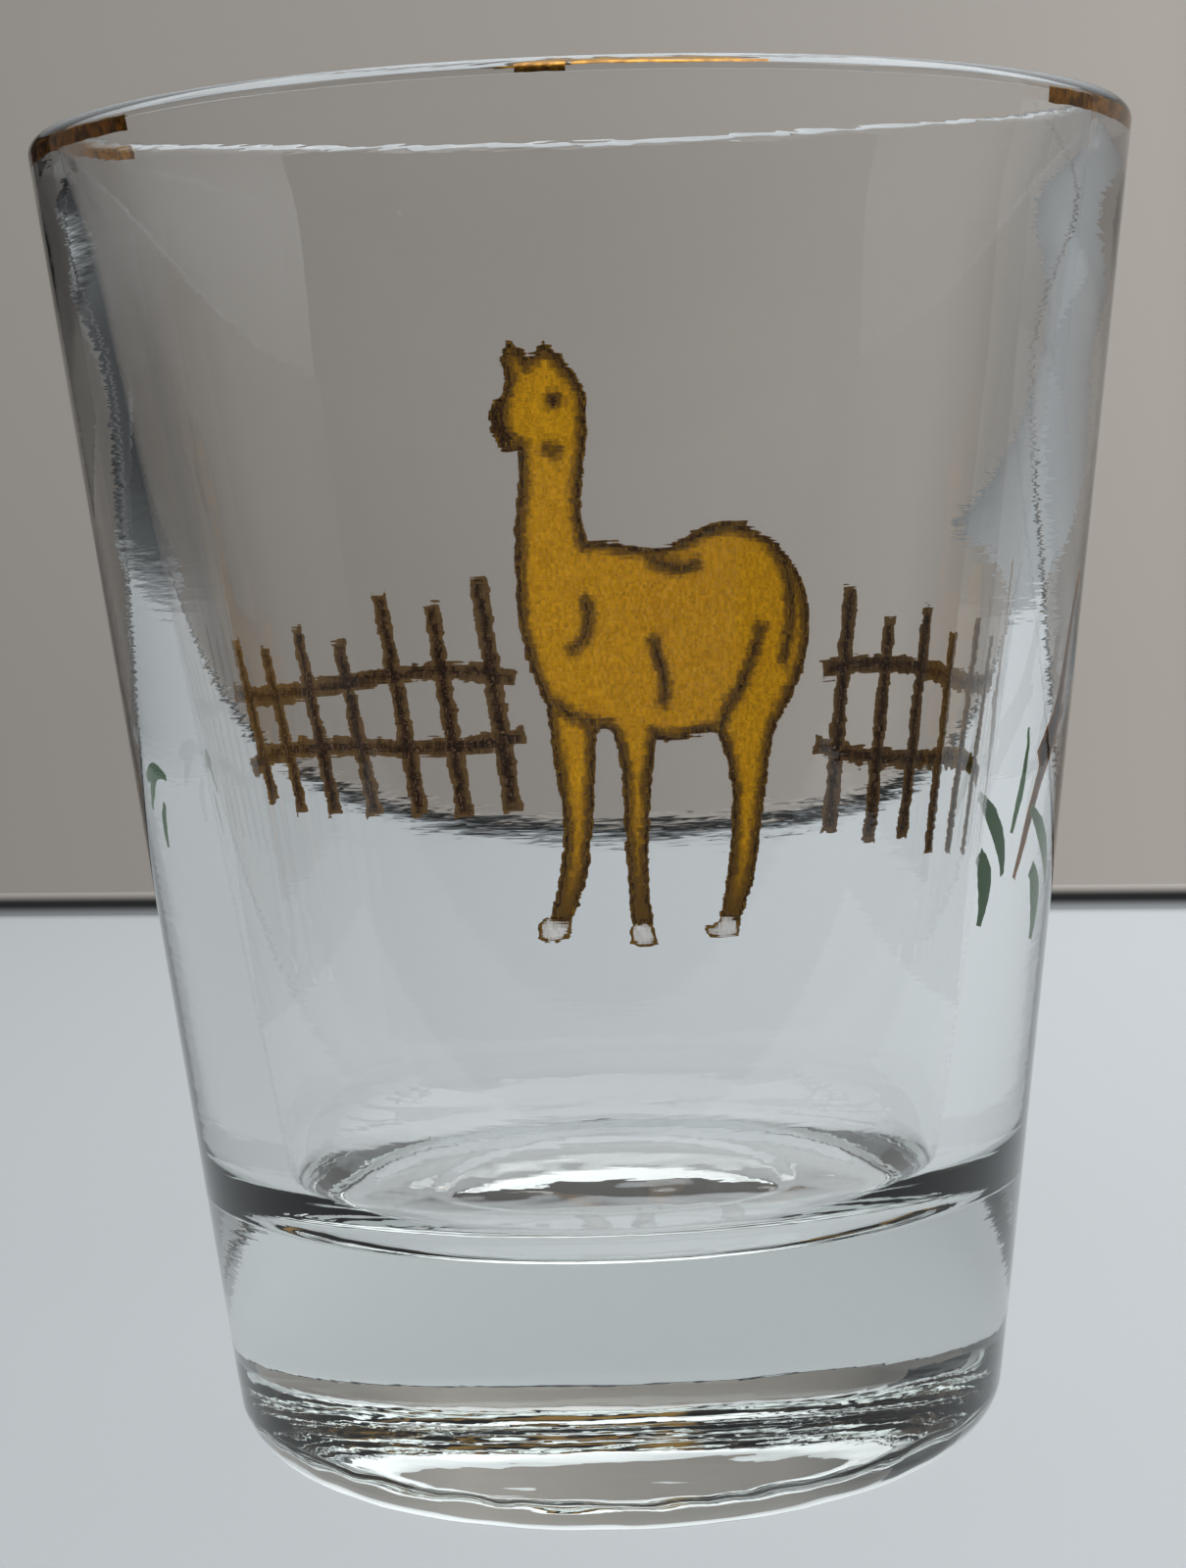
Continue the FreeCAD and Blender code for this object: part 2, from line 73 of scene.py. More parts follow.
# How finely each stretch of the glass is cut: round it, and along its section.
TURN_STEPS = 288
DISH_STEPS = 30
FOOT_STEPS = 8
HEEL_STEPS = 14
WALL_STEPS = 60
LIP_STEPS = 12
INSIDE_STEPS = 110
CORNER_STEPS = 16
FLOOR_STEPS = 10
MARK_EDGE_STEPS = 8
MARK_STEPS = 24

# Uneven surface of pressed glass: (height of the waves, length round or across, length up), by zone.
WAVES = {
    "under": (0.020, 2.2, 2.2),
    "foot": (0.05, 2.4, 1.2),
    "outside": (0.0010, 14.0, 5.0),
    "inside": (0.0016, 12.0, 2.6),
    "floor": (0.012, 4.0, 4.0),
    "mark": (0.012, 1.8, 1.8),
}

# The lengths over which the waves fade in from the edge of a zone.
DISH_FADE = 2.0
FOOT_FADE = 1.5
WALL_FADE = 3.0
WALL_FADE_START = 1.5
# Takes each zone to its own part of the noise.
WAVE_SHIFT = Vector((3.1, 7.7, 1.3))

# ---- enamel films, in millimetres ----

ENAMEL_THICKNESS = 0.1
GOLD_THICKNESS = 0.06
FILM_SINK = 0.03
FILM_CELL = 0.25
# How far a film's edge strays from its drawn line, and over what length: (stray, length).
PEN_RAGGED = (0.14, 0.30)
POLE_RAGGED = (0.20, 0.40)
BRUSH_RAGGED = (0.06, 0.5)
GOLD_RAGGED = (0.05, 0.5)
FINE_SHARE = 0.5
FINE_SCALE = 2.3
STRAY_SHIFT = Vector((9, 4, 6))
REFINE_ROUNDS = 8

# ---- materials: sizes in millimetres, tints linear ----

GLASS_IOR = 1.52
GLASS_TINT = (0.85, 0.87, 0.86)
GLASS_DENSITY = 50.0
RIPPLE_SIZE = 0.35
RIPPLE_DEPTH = 0.0022
RIPPLE_STRETCH = (0.12, 0.12, 1.0)
ENAMEL_IOR = 1.5
ENAMEL_ROUGHNESS = 0.5
ENAMEL_RELIEF = 0.01
GRAIN_SIZE = 0.22
FLECK_SIZE = 0.16
SMUDGE_SIZE = 0.3
# Heights between which the ochre of the legs turns to brown.
LEG_DARK_LOW = 19.5
LEG_DARK_HIGH = 23.5
GOLD_BRIGHT = (0.74, 0.36, 0.05)
GOLD_WORN = (0.34, 0.15, 0.02)

# ---- the stage, in millimetres ----

# The table's far edge: how far back it is in the middle, and how much farther per step to the right.
TABLE_BACK = 165.0
TABLE_SLANT = -0.196
TABLE_REACH = 600.0
# A painted shadow line along the table's back edge, where it meets the backdrop: its height and tint.
GAP_SHADOW_HEIGHT = 2.4
GAP_SHADOW_TINT = (0.012, 0.012, 0.012)
BACKDROP_Y = 440.0
BACKDROP_LEFT = -420.0
BACKDROP_RIGHT = 620.0
BACKDROP_LOW = -200.0
BACKDROP_TOP = 175.0
FLOOR_LIFT = 0.2
# To the right of this the glass sees a darker floor than the camera does.
TABLE_RIGHT = 140.0
# Painted shade: a dark card for the unlit room, a streak in the left of the glass; the dark floor
# before it.
UNLIT_ROOM_Y = 250.0
DARK_FLOOR_SIDE = -150.0
UNLIT_ROOM_CARD = ((-262.0, UNLIT_ROOM_Y), (-135.0, UNLIT_ROOM_Y))
UNLIT_ROOM_LOW = 32.0
UNLIT_ROOM_HIGH = 120.0
UNLIT_ROOM_TINT = (0.004, 0.004, 0.004)
# Dark cards before and beside the glass, which keep the front of it free of bright reflections.
SHADE_Y = -52.0
SHADE_SIDE = 75.0
SHADE_LOW = 0.5
SHADE_TOP = 110.0
SHADE_TINT = (0.02, 0.02, 0.02)
SHEET_MOTTLE = 0.03
SHEET_MOTTLE_SIZE = 2.0
SHEET_ROUGHNESS = 0.8
MATT_ROUGHNESS = 0.9
TABLE_TINT = (0.42, 0.433, 0.441)
BACKDROP_TINT = (0.72, 0.64, 0.575)
# How light the stage is from left to right: (across, share of the tint).
# On the table and backdrop this is painted light and shade.
TABLE_PAINTED_LIGHT = ((-70, 0.72), (0, 0.90), (50, 1.0))
BACKDROP_PAINTED_LIGHT = ((-200, 0.33), (-115, 0.67), (0, 0.78), (110, 1.0), (220, 0.68))
DARK_FLOOR_GRADE = ((-215, 0.01), (-170, 0.10), (-150, 0.50))
RIGHT_FLOOR_GRADE = ((140, 0.60), (200, 0.55))

# The light of the room: its strength near eye level and overhead, the elevations in degrees between
# which it climbs, and how much stronger it is at the right than straight ahead.
ROOM_LOW = 0.12
ROOM_HIGH = 1.8
ROOM_CLIMB = (5.0, 45.0)
ROOM_SIDE = 0.35
ROOM_TINT = (0.94, 0.98, 1.0)

# ---- the camera: place and near limit in metres, turns in degrees, lens in millimetres ----

CAMERA_PLACE = (0, -0.1302, 0.0412)
CAMERA_TURN = 0.16
CAMERA_DOWN = 5.46
CAMERA_ROLL = -1.94
CAMERA_LENS = 67.95
CAMERA_SENSOR = 36.0
CAMERA_NEAR = 0.005


def wall_radius(height):
    """Radius of the outside of the wall at a height."""
    return BASE_RADIUS + math.tan(LEAN) * height


# ---- mesh helpers ----


def link(name, mesh):
    """A new object in the scene with this mesh or camera."""
    piece = bpy.data.objects.new(name, mesh)
    bpy.context.scene.collection.objects.link(piece)
    return piece


def arc(centre, radius, start, end, steps):
    """Points along an arc, both ends included. Angles are in degrees."""
    angles = [math.radians(start + (end - start) * i / steps) for i in range(steps + 1)]
    return [(centre[0] + radius * math.cos(a), centre[1] + radius * math.sin(a)) for a in angles]


def line(start, end, steps):
    """Points along a line, both ends included."""
    shares = [i / steps for i in range(steps + 1)]
    return [(start[0] + (end[0] - start[0]) * s, start[1] + (end[1] - start[1]) * s) for s in shares]


# ---- the glass ----


def inside_radius(height):
    """Radius of the inside of the wall. The wall thins evenly upwards, and a little more at the lip."""
    rise = (height - FLOOR_HEIGHT) / (HEIGHT - FLOOR_HEIGHT)
    thinning = LIP_THINNING * math.exp(-(((HEIGHT - LIP_ROUND - height) / THINNING_REACH) ** 2))
    return wall_radius(height) - (TOP_WALL + (FLOOR_WALL - TOP_WALL) * (1 - rise) - thinning)


def inside_lean(height):
    """The angle of the inside wall from upright, in degrees."""
    step = 0.01
    spread = inside_radius(height + step) - inside_radius(height - step)
    return math.degrees(math.atan(spread / (2 * step)))


def glass_section():
    """The section of the glass as (radius, height, zone).

    It runs from the middle of the underside out, up, over the lip and down to the middle of the floor.
    """
    lean = math.degrees(LEAN)
    radii = [r for r, _ in line((0, 0), (DISH_RADIUS, 0), DISH_STEPS)]
    dish = [(r, DISH_DEPTH * (1 - (r / DISH_RADIUS) ** 2)) for r in radii]
    heel_centre = (wall_radius(HEEL_ROUND) - HEEL_ROUND / math.cos(LEAN), HEEL_ROUND)
    heel = arc(heel_centre, HEEL_ROUND, -90, -lean, HEEL_STEPS)
    foot = line((DISH_RADIUS, 0), heel[0], FOOT_STEPS)
    lip_lean = inside_lean(CROWN_HEIGHT)
    inner_radius = inside_radius(CROWN_HEIGHT) + LIP_ROUND / math.cos(math.radians(lip_lean))
    lip = arc((CROWN_RADIUS, CROWN_HEIGHT), LIP_ROUND, -lean, 90, LIP_STEPS)
    lip += arc((inner_radius, CROWN_HEIGHT), LIP_ROUND, 90, 180 - lip_lean, LIP_STEPS)
    wall = line(heel[-1], lip[0], WALL_STEPS)
    corner_height = FLOOR_HEIGHT + FLOOR_ROUND
    corner_lean = inside_lean(corner_height)
    corner_radius = inside_radius(corner_height) - FLOOR_ROUND / math.cos(math.radians(corner_lean))
    corner = arc((corner_radius, corner_height), FLOOR_ROUND, -corner_lean, -90, CORNER_STEPS)
    heights = [z for _, z in line(lip[-1], corner[0], INSIDE_STEPS)]
    inside = [(inside_radius(z), z) for z in heights]
    floor = line(corner[-1], (MARK_RADIUS + MARK_STEP, FLOOR_HEIGHT), FLOOR_STEPS)
    angles = [math.pi * i / MARK_EDGE_STEPS for i in range(MARK_EDGE_STEPS + 1)]
    step = [
        (MARK_RADIUS + MARK_STEP * math.cos(a), FLOOR_HEIGHT - MARK_DEPTH * (1 - math.cos(a)) / 2)
        for a in angles
    ]
    mark = line(step[-1], (0, FLOOR_HEIGHT - MARK_DEPTH), MARK_STEPS)
    stretches = (
        ("foot", foot),
        ("foot", heel),
        ("outside", wall),
        ("outside", lip),
        ("inside", inside),
        ("inside", corner),
        ("floor", floor),
        ("floor", step),
        ("mark", mark),
    )
    section = [(r, z, "under") for r, z in dish]
    for zone, points in stretches:
        section += [(r, z, zone) for r, z in points[1:]]
    return section


def wave(zone, place, fade):
    """How far the uneven surface stands off the true one at a place."""
    size, across, up = WAVES[zone]
    spot = Vector((place.x / across, place.y / across, place.z / up))
    return fade * size * noise.noise(spot + WAVE_SHIFT * len(zone))


def zone_fade(zone, radius, height):
    """1 well inside a zone and 0 at its edge, so that zones meet without a step."""
    if zone == "under":
        return min(1.0, (DISH_RADIUS - radius) / DISH_FADE)
    if zone == "foot":
        return min(1.0, max(0.0, radius - DISH_RADIUS) / FOOT_FADE, max(0.0, HEEL_ROUND - height))
    if zone == "mark":
        return min(1.0, MARK_RADIUS - radius)
    if zone == "floor":
        return min(1.0, max(0.0, radius - MARK_RADIUS - MARK_STEP))
    return min(1.0, max(0.0, height - WALL_FADE_START) / WALL_FADE, (HEIGHT - height) / WALL_FADE)


def build_glass():
    """A finely turned mesh of the glass with the slight waves of pressed glass."""
    mesh = bmesh.new()
    rings = []
    for radius, height, zone in glass_section():
        fade = zone_fade(zone, radius, height)
        if radius < TINY:
            rings.append([mesh.verts.new(Vector((0, 0, height)) * MM)])
            continue
        ring = []
        for k in range(TURN_STEPS):
            angle = 2 * math.pi * k / TURN_STEPS
            outward = Vector((math.cos(angle), math.sin(angle), 0))
            place = outward * radius + Vector((0, 0, height))
            direction = outward if zone in ("outside", "inside") else Vector((0, 0, 1))
            offset = wave(zone, place, fade)
            if zone == "foot":
                # Always into the glass, so that it keeps to the size of the CAD model.
                direction = Vector((0, 0, 1)) - outward
                offset = abs(offset)
            ring.append(mesh.verts.new((place + direction * offset) * MM))
        rings.append(ring)
    for low, high in zip(rings, rings[1:]):
        for k in range(TURN_STEPS):
            after = (k + 1) % TURN_STEPS
            if len(low) == 1:
                mesh.faces.new((low[0], high[after], high[k]))
            elif len(high) == 1:
                mesh.faces.new((low[k], low[after], high[0]))
            else:
                mesh.faces.new((low[k], low[after], high[after], high[k]))
    bmesh.ops.recalc_face_normals(mesh, faces=mesh.faces)
    for face in mesh.faces:
        face.smooth = True
    data = bpy.data.meshes.new("glass_wall")
    mesh.to_mesh(data)
    mesh.free()
    return link("glass_wall", data)


# ---- films on the glass ----


def stand_off(place):
    """How far a place, in millimetres, stands off the outside of the glass."""
    radius = math.hypot(place.x, place.y)
    if place.z < CROWN_HEIGHT:
        return radius - wall_radius(place.z)
    return math.hypot(radius - CROWN_RADIUS, place.z - CROWN_HEIGHT) - LIP_ROUND


def set_off(place, distance):
    """The place moved to stand off the outside of the glass by this much."""
    radius = math.hypot(place.x, place.y)
    around = Vector((place.x / radius, place.y / radius, 0))
    if place.z < CROWN_HEIGHT:
        return around * (wall_radius(place.z) + distance) + Vector((0, 0, place.z))
    across, up = radius - CROWN_RADIUS, place.z - CROWN_HEIGHT
    share = (LIP_ROUND + distance) / math.hypot(across, up)
    return around * (CROWN_RADIUS + across * share) + Vector((0, 0, CROWN_HEIGHT + up * share))


def strayed(place, ragged):
    """The place moved along the wall by a little noise, the same for every film that shares it."""
    stray, length = ragged
    around = Vector((-place.y, place.x, 0)).normalized()
    foot = Vector((place.x, place.y, 0)).normalized() * BASE_RADIUS + Vector((0, 0, place.z))
    sideways = noise.noise(foot / length) + FINE_SHARE * noise.noise(foot * FINE_SCALE / length)
    upwards = noise.noise((foot + STRAY_SHIFT) / length)
    return place + around * (stray * sideways) + Vector((0, 0, stray * upwards))


def refine(mesh, longest):
    """Cuts a film's long edges until none is longer than this, in millimetres."""
    for _ in range(REFINE_ROUNDS):
        bmesh.ops.triangulate(mesh, faces=mesh.faces)
        long_edges = [edge for edge in mesh.edges if edge.calc_length() / MM > longest]
        if not long_edges:
            return
        bmesh.ops.subdivide_edges(mesh, edges=long_edges, cuts=1)
    bmesh.ops.triangulate(mesh, faces=mesh.faces)


def build_film(node, thickness, ragged):
    """A film's own mesh: the CAD node, cut fine, with ragged edges, set a little into the glass.

    It carries, for each vertex, how far it is from the edge of the film, for the material.
    """
    mesh = bmesh.new()
    mesh.from_mesh(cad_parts[node].data)
    bmesh.ops.remove_doubles(mesh, verts=mesh.verts, dist=TINY)
    refine(mesh, FILM_CELL)
    outer = {vert for vert in mesh.verts if stand_off(vert.co / MM) > thickness / 2}
    rim = [v for v in outer if any(edge.other_vert(v) not in outer for edge in v.link_edges)]
    tree = kdtree.KDTree(len(rim))
    for i, vert in enumerate(rim):
        tree.insert(vert.co, i)
    tree.balance()
    inset = mesh.verts.layers.float.new("inset")
    for vert in mesh.verts:
        _, _, distance = tree.find(vert.co)
        vert[inset] = distance / MM
    for vert in mesh.verts:
        distance = thickness if vert in outer else -FILM_SINK
        vert.co = set_off(strayed(vert.co / MM, ragged), distance) * MM
    for face in mesh.faces:
        face.smooth = False
    data = bpy.data.meshes.new(f"{node}_film")
    mesh.to_mesh(data)
    mesh.free()
    film = link(f"{node}_film", data)
    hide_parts(node)
    return film


# ---- materials ----


class Shader:
    """A material with a few helpers for laying out its nodes."""

    def __init__(self, name):
        self.material = bpy.data.materials.new(name)
        self.material.use_nodes = True
        self.tree = self.material.node_tree
        self.surface = self.tree.nodes["Principled BSDF"]

    def node(self, kind, **settings):
        made = self.tree.nodes.new(kind)
        for name, value in settings.items():
            setattr(made, name, value)
        return made

    def join(self, source, target):
        self.tree.links.new(source, target)

    def place(self):
        """The place in the frame, as a socket."""
        return self.node("ShaderNodeTexCoord").outputs["Object"]

    def noise(self, size, detail=4.0, rough=0.55, stretch=(1, 1, 1)):
        """Noise whose blotches are about this size in millimetres."""
        mapping = self.node("ShaderNodeMapping")
        mapping.inputs["Scale"].default_value = stretch
        self.join(self.place(), mapping.inputs["Vector"])
        texture = self.node("ShaderNodeTexNoise")
        texture.inputs["Scale"].default_value = 1 / (size * MM)
        texture.inputs["Detail"].default_value = detail
        texture.inputs["Roughness"].default_value = rough
        self.join(mapping.outputs["Vector"], texture.inputs["Vector"])
        return texture.outputs["Fac"]

    def ramp(self, factor, low, high):
        """0 below low and 1 above high."""
        made = self.node("ShaderNodeMapRange", interpolation_type="SMOOTHSTEP")
        made.inputs["From Min"].default_value = low
        made.inputs["From Max"].default_value = high
        self.join(factor, made.inputs["Value"])
        return made.outputs["Result"]

    def mix(self, factor, first, second):
        """A colour between two, each a colour or a socket."""
        made = self.node("ShaderNodeMix", data_type="RGBA")
        self.join(factor, made.inputs["Factor"])
        for socket, colour in ((made.inputs["A"], first), (made.inputs["B"], second)):
            if isinstance(colour, tuple):
                socket.default_value = (*colour, 1)
            else:
                self.join(colour, socket)
        return made.outputs["Result"]

    def maths(self, operation, first, second):
        """A sum or product of two, each a number or a socket."""
        made = self.node("ShaderNodeMath", operation=operation)
        for socket, value in zip(made.inputs, (first, second)):
            if isinstance(value, (int, float)):
                socket.default_value = value
            else:
                self.join(value, socket)
        return made.outputs["Value"]

    def bump(self, height, distance):
        """Relief of this depth, in millimetres, on the surface."""
        made = self.node("ShaderNodeBump")
        made.inputs["Distance"].default_value = distance * MM
        made.inputs["Strength"].default_value = 1.0
        self.join(height, made.inputs["Height"])
        self.join(made.outputs["Normal"], self.surface.inputs["Normal"])

    def set(self, **values):
        """Sets the surface's own sockets. A name's spaces are written as underscores."""
        for name, value in values.items():
            self.surface.inputs[name.replace("_", " ")].default_value = value


def height_of(shader):
    """The height above the table, in millimetres, as a socket."""
    split = shader.node("ShaderNodeSeparateXYZ")
    shader.join(shader.place(), split.inputs["Vector"])
    return shader.maths("MULTIPLY", split.outputs["Z"], 1 / MM)


def clear_glass():
    """Soda glass with a faint grey-green body and the fine level ripples that the mould leaves."""
    shader = Shader("clear_glass")
    shader.set(Transmission_Weight=1.0, Roughness=0.0, IOR=GLASS_IOR, Base_Color=(1, 1, 1, 1))
    ripples = shader.noise(RIPPLE_SIZE, detail=2.0, stretch=RIPPLE_STRETCH)
    shader.bump(ripples, RIPPLE_DEPTH)
    body = shader.node("ShaderNodeVolumeAbsorption")
    body.inputs["Color"].default_value = (*GLASS_TINT, 1)
    body.inputs["Density"].default_value = GLASS_DENSITY
    shader.join(body.outputs["Volume"], shader.tree.nodes["Material Output"].inputs["Volume"])
    return shader.material


def enamel(name, dark, light, edge_tint, edge_width, flecks=None, low_tint=None, gloss=0.06):
    """Fired enamel: two shades in a crayon-like grain, with another tint along the edges.

    flecks is a tint that shows in small worn spots. low_tint is one that takes over low on the glass.
    gloss is the strength of the shine.
    """
    shader = Shader(name)
    blotches = shader.ramp(shader.noise(GRAIN_SIZE, detail=5.0, rough=0.7), 0.38, 0.62)
    body = shader.mix(blotches, dark, light)
    if flecks is not None:
        spots = shader.ramp(shader.noise(FLECK_SIZE, detail=3.0, rough=0.6), 0.56, 0.66)
        body = shader.mix(spots, body, flecks)
    if low_tint is not None:
        depth = shader.maths("MULTIPLY", height_of(shader), -1.0)
        low = shader.ramp(depth, -LEG_DARK_HIGH, -LEG_DARK_LOW)
        body = shader.mix(low, body, low_tint)
    inset = shader.node("ShaderNodeAttribute", attribute_name="inset").outputs["Fac"]
    smudge = shader.maths("MULTIPLY", shader.noise(SMUDGE_SIZE, detail=4.0), -2.0 * edge_width)
    inner = shader.ramp(shader.maths("ADD", inset, smudge), -edge_width, edge_width * 0.6)
    shader.join(shader.mix(inner, edge_tint, body), shader.surface.inputs["Base Color"])
    shader.set(Roughness=ENAMEL_ROUGHNESS, IOR=ENAMEL_IOR, Specular_IOR_Level=gloss)
    shader.bump(shader.noise(SMUDGE_SIZE, detail=4.0), ENAMEL_RELIEF)
    return shader.material


def worn_gold():
    """Fired gold, bright and worn in blotches."""
    shader = Shader("worn_gold")
    blotches = shader.ramp(shader.noise(0.6, detail=5.0), 0.4, 0.62)
    shader.join(shader.mix(blotches, GOLD_BRIGHT, GOLD_WORN), shader.surface.inputs["Base Color"])
    rough = shader.ramp(shader.noise(0.5, detail=4.0), 0.0, 2.0)
    shader.join(rough, shader.surface.inputs["Roughness"])
    shader.set(Metallic=1.0)
    return shader.material


# ---- the stage ----


def flat(name, corners, colour, seen=True):
    """A flat sheet of the stage with a faint mottle."""
    data = bpy.data.meshes.new(name)
    data.from_pydata([Vector(corner) * MM for corner in corners], [], [tuple(range(len(corners)))])
    sheet = link(name, data)
    shader = Shader(name)
    darker = tuple(channel * (1 - SHEET_MOTTLE) for channel in colour)
    mottled = shader.mix(shader.noise(SHEET_MOTTLE_SIZE), darker, colour)
    shader.join(mottled, shader.surface.inputs["Base Color"])
    shader.set(Roughness=SHEET_ROUGHNESS)
    data.materials.append(shader.material)
    sheet.visible_camera = seen
    return sheet


def upright(name, first, second, low, high, colour, seen=True):
    """An upright sheet between two points of the plan."""
    corners = [(*first, low), (*second, low), (*second, high), (*first, high)]
    return flat(name, corners, colour, seen)


def hide(card):
    """Leaves a card to be seen only in and through the glass."""
    card.visible_camera = False
    card.visible_diffuse = False
    card.visible_shadow = False


def graded(shader, tint, grade):
    """The tint of a stage sheet, lighter or darker from left to right."""
    split = shader.node("ShaderNodeSeparateXYZ")
    shader.join(shader.place(), split.inputs["Vector"])
    low, high = grade[0][0] * MM, grade[-1][0] * MM
    across = shader.node("ShaderNodeMapRange")
    across.inputs["From Min"].default_value = low
    across.inputs["From Max"].default_value = high
    shader.join(split.outputs["X"], across.inputs["Value"])
    shades = shader.node("ShaderNodeValToRGB")
    stops = shades.color_ramp.elements
    for _ in grade[2:]:
        stops.new(0.5)
    for stop, (place, share) in zip(stops, grade):
        stop.position = (place * MM - low) / (high - low)
        stop.color = (*(channel * share for channel in tint), 1)
    shader.join(across.outputs["Result"], shades.inputs["Fac"])
    return shades.outputs["Color"]


def repaint(sheet, shader, colour):
    """Gives a stage sheet the matt material of this shader, in this colour."""
    shader.join(colour, shader.surface.inputs["Base Color"])
    shader.set(Roughness=MATT_ROUGHNESS)
    sheet.data.materials[0] = shader.material


def paint_gap_shadow(sheet):
    """The painted shadow line where the table ends, soft above and below."""
    shader = Shader(f"{sheet.name}_soft")
    height = height_of(shader)
    rising = shader.ramp(height, 0.0, GAP_SHADOW_HEIGHT * 0.45)
    falling = shader.ramp(height, GAP_SHADOW_HEIGHT * 0.55, GAP_SHADOW_HEIGHT)
    lower = shader.mix(rising, graded(shader, TABLE_TINT, TABLE_PAINTED_LIGHT), GAP_SHADOW_TINT)
    repaint(sheet, shader, shader.mix(falling, lower, graded(shader, BACKDROP_TINT, BACKDROP_PAINTED_LIGHT)))


def table_edge(across):
    """Where the table ends, as a place in the plan. Its edge runs a little aslant."""
    return (across, TABLE_BACK + TABLE_SLANT * across)


def hidden_floor(name, start, end, back, tint, grade):
    """A matt sheet just over the table, beside the lit part, that only the glass sees."""
    corners = [(start, -TABLE_REACH), (end, -TABLE_REACH), (end, back), (start, back)]
    sheet = flat(name, [(*corner, FLOOR_LIFT) for corner in corners], tint, seen=False)
    shader = Shader(f"{name}_graded")
    repaint(sheet, shader, graded(shader, tint, grade))
    shader.set(Specular_IOR_Level=0.0)
    hide(sheet)


def build_stage():
    """The table, the backdrop, and the dark sheets that only the glass sees."""
    reach = TABLE_REACH
    edge = [table_edge(reach), table_edge(-reach)]
    plan = [(-reach, -reach), (reach, -reach), *edge]
    table = flat("table_top", [(*corner, 0) for corner in plan], TABLE_TINT)
    # The table's tint carries painted light, lighter towards the right.
    shader = Shader("table_painted_light")
    repaint(table, shader, graded(shader, TABLE_TINT, TABLE_PAINTED_LIGHT))
    # The strip along the table's back edge carries a painted shadow line.
    paint_gap_shadow(upright("table_edge_shadow", *edge, 0, GAP_SHADOW_HEIGHT, TABLE_TINT))

    ends = [(BACKDROP_LEFT, BACKDROP_Y), (BACKDROP_RIGHT, BACKDROP_Y)]
    backdrop = upright("backdrop", *ends, BACKDROP_LOW, BACKDROP_TOP, BACKDROP_TINT)
    # The backdrop's tint carries painted light and shade, darkest at the far left.
    shader = Shader("backdrop_painted_light")
    repaint(backdrop, shader, graded(shader, BACKDROP_TINT, BACKDROP_PAINTED_LIGHT))

    # The unlit room at the left, as a dark card of painted shade.
    hide(upright("unlit_room_card", *UNLIT_ROOM_CARD, UNLIT_ROOM_LOW, UNLIT_ROOM_HIGH, UNLIT_ROOM_TINT, seen=False))
    hidden_floor("floor_left", -reach, DARK_FLOOR_SIDE, UNLIT_ROOM_Y, TABLE_TINT, DARK_FLOOR_GRADE)
    hidden_floor("floor_right", TABLE_RIGHT, reach, reach, TABLE_TINT, RIGHT_FLOOR_GRADE)
    corners = [(-SHADE_SIDE, 0), (-SHADE_SIDE, SHADE_Y), (SHADE_SIDE, SHADE_Y), (SHADE_SIDE, 0)]
    for i, ends in enumerate(zip(corners, corners[1:]), start=1):
        hide(upright(f"camera_shade_{i}", *ends, SHADE_LOW, SHADE_TOP, SHADE_TINT, seen=False))


def build_light():
    """A room that is bright overhead and dim at eye level, and a little brighter at the right."""
    world = bpy.data.worlds.new("soft_room")
    bpy.context.scene.world = world
    world.use_nodes = True
    nodes, links = world.node_tree.nodes, world.node_tree.links
    direction = nodes.new("ShaderNodeTexCoord").outputs["Generated"]
    split = nodes.new("ShaderNodeSeparateXYZ")
    links.new(direction, split.inputs["Vector"])
    climb = nodes.new("ShaderNodeMapRange")
    climb.interpolation_type = "SMOOTHSTEP"
    climb.inputs["From Min"].default_value = math.sin(math.radians(ROOM_CLIMB[0]))
    climb.inputs["From Max"].default_value = math.sin(math.radians(ROOM_CLIMB[1]))
    climb.inputs["To Min"].default_value = ROOM_LOW
    climb.inputs["To Max"].default_value = ROOM_HIGH
    links.new(split.outputs["Z"], climb.inputs["Value"])
    side = nodes.new("ShaderNodeMapRange")
    side.inputs["From Min"].default_value = -1
    side.inputs["To Min"].default_value = 1 - ROOM_SIDE
    side.inputs["To Max"].default_value = 1 + ROOM_SIDE
    links.new(split.outputs["X"], side.inputs["Value"])
    strength = nodes.new("ShaderNodeMath")
    strength.operation = "MULTIPLY"
    links.new(climb.outputs["Result"], strength.inputs[0])
    links.new(side.outputs["Result"], strength.inputs[1])
    background = nodes["Background"]
    background.inputs["Color"].default_value = (*ROOM_TINT, 1)
    links.new(strength.outputs["Value"], background.inputs["Strength"])
    bpy.context.scene.view_settings.view_transform = "Standard"


def build_camera():
    """The camera, a little above the middle of the glass and looking slightly down."""
    data = bpy.data.cameras.new("camera")
    data.sensor_width = CAMERA_SENSOR
    data.lens = CAMERA_LENS
    data.clip_start = CAMERA_NEAR
    camera = link("camera", data)
    turn = Matrix.Rotation(math.radians(CAMERA_TURN), 3, "Z")
    tilt = Matrix.Rotation(math.radians(90 - CAMERA_DOWN), 3, "X")
    roll = Matrix.Rotation(math.radians(CAMERA_ROLL), 3, "Z")
    camera.matrix_world = Matrix.Translation(CAMERA_PLACE) @ (turn @ tilt @ roll).to_4x4()
    bpy.context.scene.camera = camera


# ---- the films' shades and the object ----

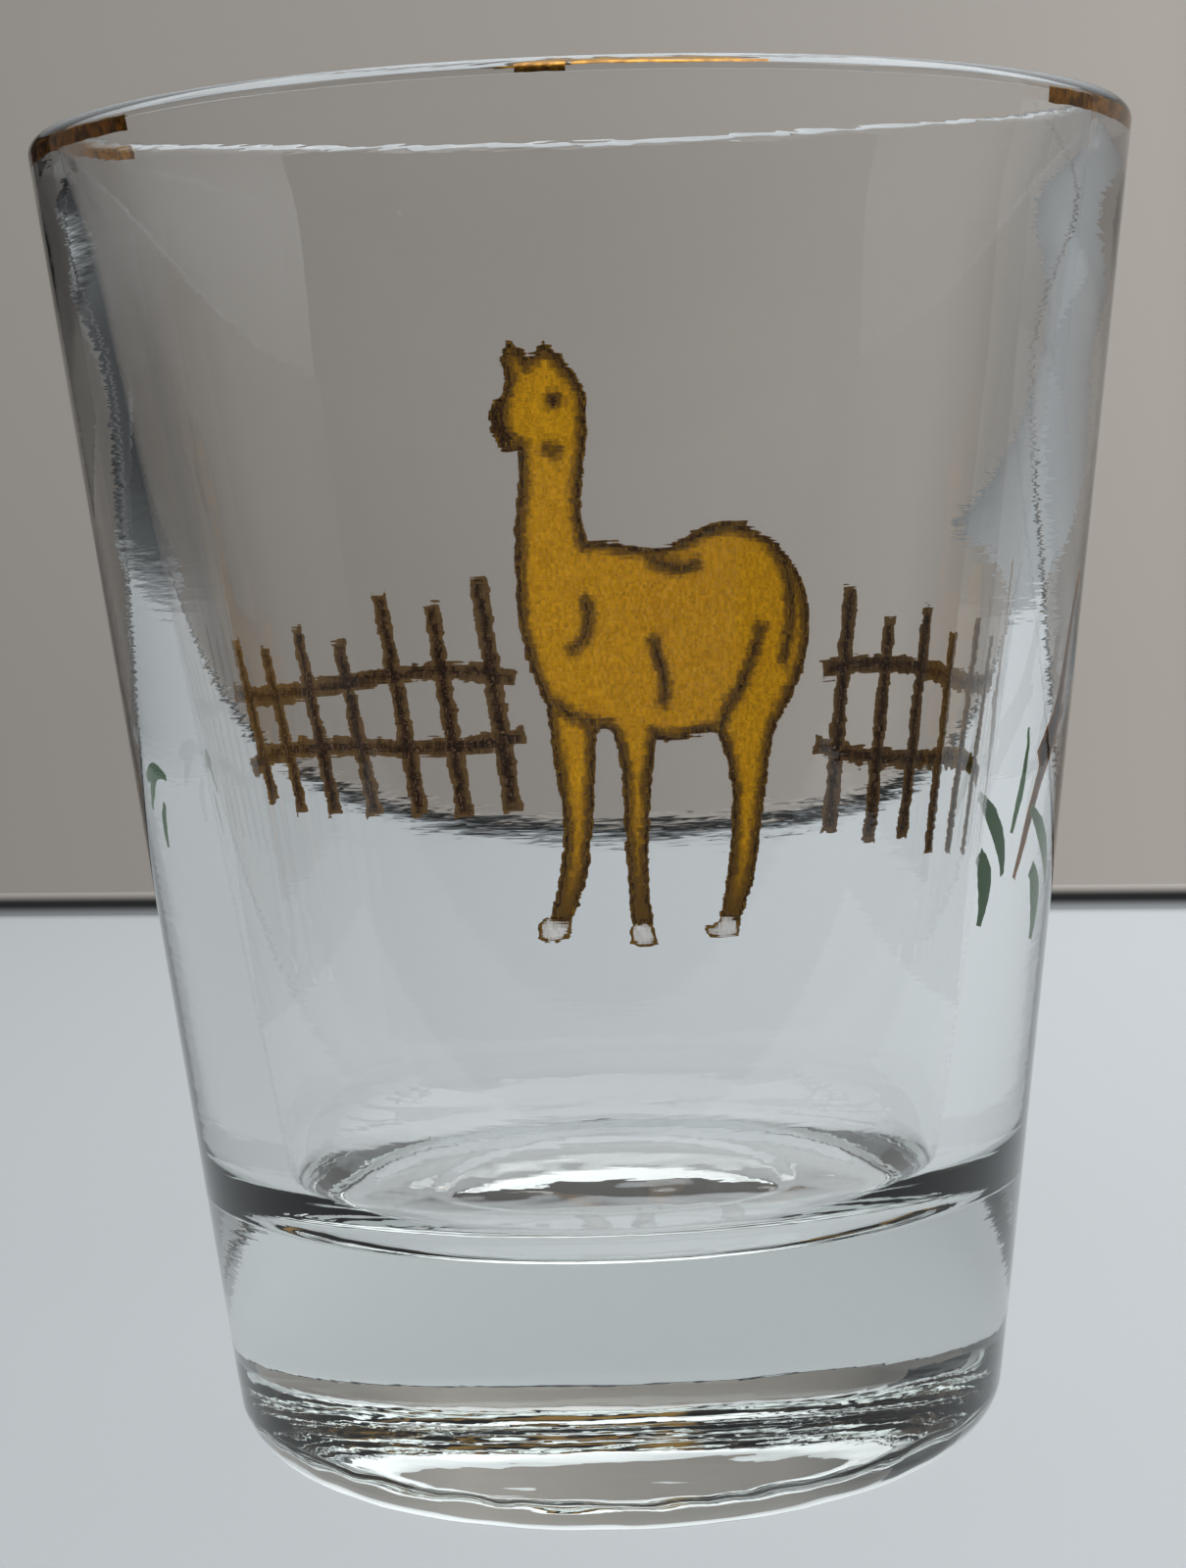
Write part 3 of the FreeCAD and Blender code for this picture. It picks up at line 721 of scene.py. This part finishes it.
PEN = {
    "dark": (0.020, 0.009, 0.003),
    "light": (0.085, 0.038, 0.010),
    "edge_tint": (0.24, 0.12, 0.02),
    "edge_width": 0.12,
    "flecks": (0.34, 0.16, 0.01),
}
POLE = {
    "dark": (0.012, 0.005, 0.002),
    "light": (0.060, 0.026, 0.012),
    "edge_tint": (0.20, 0.11, 0.04),
    "edge_width": 0.30,
    "flecks": (0.24, 0.13, 0.07),
}
COAT = {
    "dark": (0.56, 0.25, 0.004),
    "light": (0.80, 0.38, 0.006),
    "edge_tint": (0.16, 0.075, 0.010),
    "edge_width": 0.35,
    "flecks": (0.40, 0.20, 0.006),
    "low_tint": (0.20, 0.095, 0.012),
}
HOOF = {
    "dark": (0.72, 0.66, 0.62),
    "light": (0.88, 0.84, 0.82),
    "edge_tint": (0.45, 0.38, 0.32),
    "edge_width": 0.1,
}
GRASS = {
    "dark": (0.018, 0.070, 0.014),
    "light": (0.045, 0.14, 0.030),
    "edge_tint": (0.07, 0.17, 0.05),
    "edge_width": 0.12,
    "gloss": 0.0,
}
TWIG = {**POLE, "edge_tint": (0.36, 0.14, 0.03), "gloss": 0.0}

# Each film: its slot, its shades and how ragged its edges are.
FILMS = {
    "llama_outline": ("enamel_brown", PEN, PEN_RAGGED),
    "llama_coat": ("enamel_ochre", COAT, PEN_RAGGED),
    "llama_hooves": ("enamel_white", HOOF, PEN_RAGGED),
    "fence_left": ("enamel_brown", POLE, POLE_RAGGED),
    "fence_right": ("enamel_brown", POLE, POLE_RAGGED),
    "twig": ("enamel_brown", TWIG, BRUSH_RAGGED),
    "grass_right": ("enamel_green", GRASS, BRUSH_RAGGED),
    "grass_left": ("enamel_green", GRASS, BRUSH_RAGGED),
}


def build_object():
    """The glass and its films, each with its own material and place on the one body."""
    glass = build_glass()
    glass.data.materials.append(clear_glass())
    glass.visible_diffuse = False
    glass.visible_shadow = False
    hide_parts("glass_body")
    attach(glass, "root")
    gold = build_film("gold_rim_line", GOLD_THICKNESS, GOLD_RAGGED)
    gold.data.materials.append(worn_gold())
    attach(gold, "root")
    for node, (slot, shades, ragged) in FILMS.items():
        film = build_film(node, ENAMEL_THICKNESS, ragged)
        film.data.materials.append(enamel(f"{node}_enamel", **shades))
        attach(film, "root")


build_object()
build_stage()
build_light()
build_camera()
